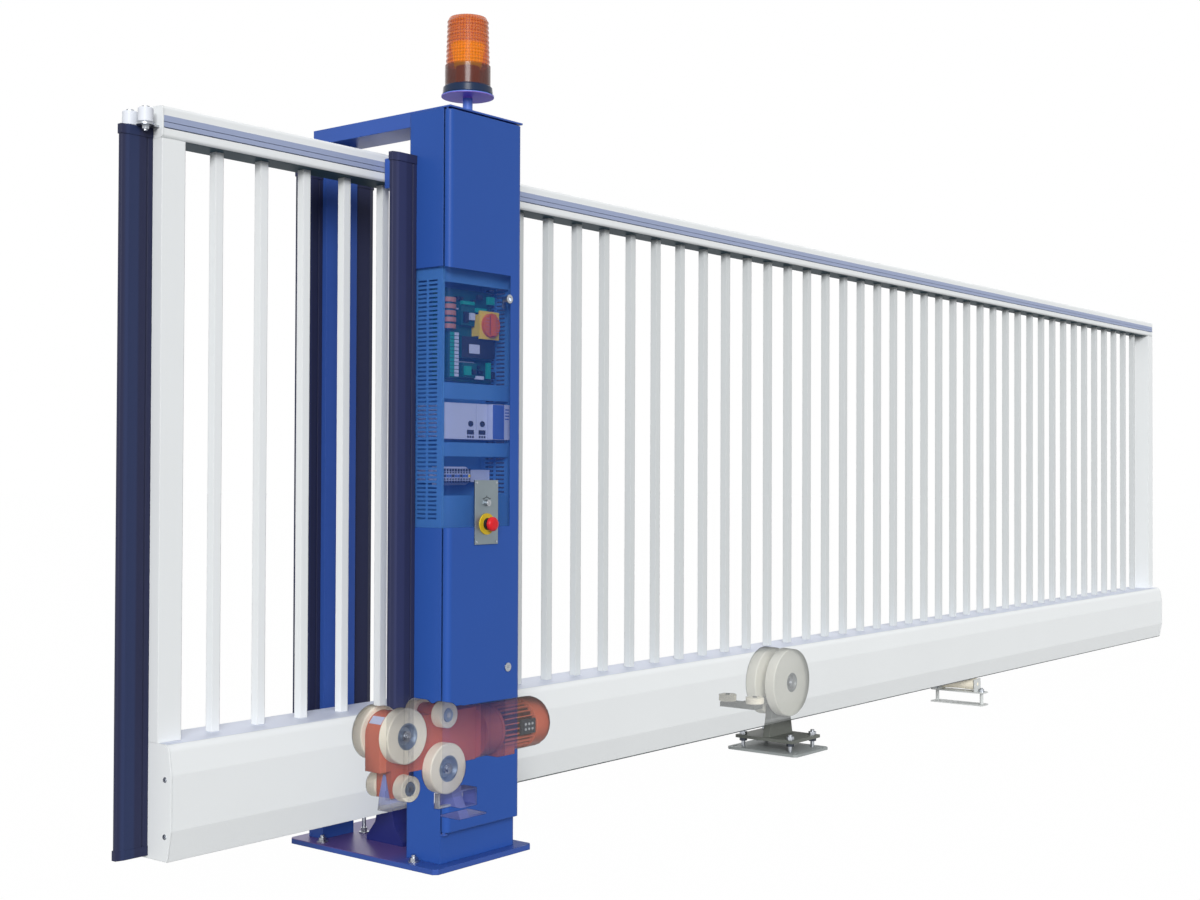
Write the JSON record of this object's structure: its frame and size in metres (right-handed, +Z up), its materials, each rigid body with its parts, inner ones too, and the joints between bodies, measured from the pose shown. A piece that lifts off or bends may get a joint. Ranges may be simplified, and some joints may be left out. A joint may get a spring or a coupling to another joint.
{
  "type": "sliding driveway gate",
  "caption": "Cantilever sliding gate: barred leaf on a hollow beam that runs over wheels through a drive portal with a control column, beacon, roller block and tail roller.",
  "frame": {"origin": "centre of the portal's base plate, on its underside", "axes": "+X along the leaf towards its tail, +Y to the rear of the column, +Z up"},
  "size_m": [7.1615, 0.629, 2.388],
  "materials": {
    "blue_paint": "semi-gloss",
    "white_paint": "powder coated",
    "lilac_strip": "satin",
    "edge_rubber": "matte",
    "drive_paint": "painted",
    "fan_paint": "painted",
    "wheel_plastic": "smooth",
    "bright_steel": "machined",
    "stand_paint": "matte",
    "stand_violet": "matte",
    "base_black": "matte",
    "amber": "clear",
    "lamp_yellow": "bright",
    "panel_grey": "satin",
    "stop_yellow": "smooth",
    "stop_red": "smooth",
    "chassis_steel": "satin",
    "board_green": "matte",
    "module_grey": "smooth"
  },
  "bodies": {
    "portal": {"base_plate": "blue_paint", "column_shell": "blue_paint", "column_lid": "blue_paint", "crossbar": "blue_paint", "rear_post": "blue_paint", "safety_edges": "edge_rubber", "guide_block": "blue_paint", "door_pivots": "bright_steel", "beacon_stand": "blue_paint", "beacon_base": "base_black", "beacon_lens": "amber", "beacon_lamp": "lamp_yellow", "control_chassis": "chassis_steel", "circuit_board": "board_green", "relay_modules": "module_grey", "terminal_strip": "module_grey", "main_switch": "stop_yellow", "gearbox": "drive_paint", "drive_stand": "stand_violet", "motor": "drive_paint", "fan_cover": "fan_paint", "block_stand": "stand_paint", "block_studs": "bright_steel", "block_base": "stand_paint", "tail_bracket": "stand_paint", "tail_base": "stand_paint"},
    "leaf": {"lower_beam": "white_paint", "top_rail": "white_paint", "guide_strip": "lilac_strip", "end_plates": "white_paint", "end_posts": "white_paint", "bars": "white_paint", "nose_edge": "edge_rubber", "nose_bracket": "bright_steel"},
    "door": {"door_panel": "blue_paint", "control_plate": "panel_grey", "stop_collar": "stop_yellow"},
    "stop_button": {"stop_button": "stop_red"},
    "key_switch": {"key_switch": "bright_steel"},
    "upper_lock": {"upper_lock": "bright_steel"},
    "lower_lock": {"lower_lock": "bright_steel"},
    "main_knob": {"switch_knob": "stop_red"},
    "nose_roller_front": {"nose_roller_front": "wheel_plastic"},
    "nose_roller_rear": {"nose_roller_rear": "wheel_plastic"},
    "drive_wheels": {"drive_wheels": "wheel_plastic", "drive_axle": "bright_steel"},
    "support_wheels": {"support_wheels": "wheel_plastic", "support_axle": "bright_steel"},
    "high_rollers": {"high_rollers": "wheel_plastic"},
    "low_rollers": {"low_rollers": "wheel_plastic"},
    "twin_wheels": {"twin_wheels": "wheel_plastic", "twin_axle": "bright_steel"},
    "side_roller_front": {"side_roller_front": "wheel_plastic"},
    "side_roller_rear": {"side_roller_rear": "wheel_plastic"},
    "tail_roller": {"tail_roller": "wheel_plastic"}
  },
  "joints": [
    {"name": "gate_slide", "type": "slide", "parent": "portal", "child": "leaf", "axis": [-1, 0, 0], "range_m": [-0.6, 3.7]},
    {"name": "door_hinge", "type": "hinge", "parent": "portal", "child": "door", "pos_m": [-0.145, -0.278, 1.1], "axis": [0, 0, -1], "range_deg": [0, 105]},
    {"name": "stop_press", "type": "slide", "parent": "door", "child": "stop_button", "axis": [0, 1, 0], "range_m": [0, 0.005]},
    {"name": "key_turn", "type": "hinge", "parent": "door", "child": "key_switch", "pos_m": [0, -0.3, 1.004], "axis": [0, 1, 0], "range_deg": [-45, 45]},
    {"name": "upper_lock_turn", "type": "hinge", "parent": "door", "child": "upper_lock", "pos_m": [0.094, -0.293, 1.586], "axis": [0, 1, 0], "range_deg": [-90, 0]},
    {"name": "lower_lock_turn", "type": "hinge", "parent": "door", "child": "lower_lock", "pos_m": [0.094, -0.293, 0.535], "axis": [0, 1, 0], "range_deg": [-90, 0]},
    {"name": "main_switch_turn", "type": "hinge", "parent": "portal", "child": "main_knob", "pos_m": [0.064, -0.246, 1.51], "axis": [0, 1, 0], "range_deg": [0, 90]},
    {"name": "nose_roller_front_turn", "type": "hinge", "parent": "leaf", "child": "nose_roller_front", "pos_m": [-0.925, 0.0025, 1.97], "axis": [0, 0, 1], "continuous": true},
    {"name": "nose_roller_rear_turn", "type": "hinge", "parent": "leaf", "child": "nose_roller_rear", "pos_m": [-0.925, 0.0675, 1.97], "axis": [0, 0, 1], "continuous": true},
    {"name": "drive_wheels_turn", "type": "hinge", "parent": "portal", "child": "drive_wheels", "pos_m": [-0.05, 0.035, 0.3277], "axis": [0, 1, 0], "range_deg": [-2650.9, 430.7]},
    {"name": "support_wheels_turn", "type": "hinge", "parent": "portal", "child": "support_wheels", "pos_m": [0.12, 0.035, 0.2113], "axis": [0, 1, 0], "range_deg": [-459.4, 2827.6]},
    {"name": "high_rollers_turn", "type": "hinge", "parent": "portal", "child": "high_rollers", "pos_m": [0.12, 0.035, 0.3692], "axis": [0, 1, 0], "range_deg": [-5507.3, 893.9]},
    {"name": "low_rollers_turn", "type": "hinge", "parent": "portal", "child": "low_rollers", "pos_m": [-0.036, 0.035, 0.1748], "axis": [0, 1, 0], "range_deg": [-893.9, 5507.3]},
    {"name": "twin_wheels_turn", "type": "hinge", "parent": "portal", "child": "twin_wheels", "pos_m": [2.063, 0.035, 0.2683], "axis": [0, 1, 0], "range_deg": [-261.4, 1607]},
    {"name": "side_roller_front_turn", "type": "hinge", "parent": "portal", "child": "side_roller_front", "pos_m": [1.8, -0.0267, 0.214], "axis": [0, 0, 1], "range_deg": [-6058, 983.2]},
    {"name": "side_roller_rear_turn", "type": "hinge", "parent": "portal", "child": "side_roller_rear", "pos_m": [1.8, 0.0967, 0.214], "axis": [0, 0, 1], "range_deg": [-983.2, 6058]},
    {"name": "tail_roller_turn", "type": "hinge", "parent": "portal", "child": "tail_roller", "pos_m": [3.68, 0.035, 0.0987], "axis": [0, 1, 0], "range_deg": [-7311.2, 1186.4]}
  ],
  "couplings": [
    {"joint": "drive_wheels_turn", "follows": "gate_slide", "rad_per_m": -12.5},
    {"joint": "support_wheels_turn", "follows": "gate_slide", "rad_per_m": 13.333},
    {"joint": "high_rollers_turn", "follows": "gate_slide", "rad_per_m": -25.974},
    {"joint": "low_rollers_turn", "follows": "gate_slide", "rad_per_m": 25.974},
    {"joint": "twin_wheels_turn", "follows": "gate_slide", "rad_per_m": 7.5758},
    {"joint": "side_roller_front_turn", "follows": "gate_slide", "rad_per_m": -28.571},
    {"joint": "side_roller_rear_turn", "follows": "gate_slide", "rad_per_m": 28.571},
    {"joint": "tail_roller_turn", "follows": "gate_slide", "rad_per_m": -34.483}
  ]
}
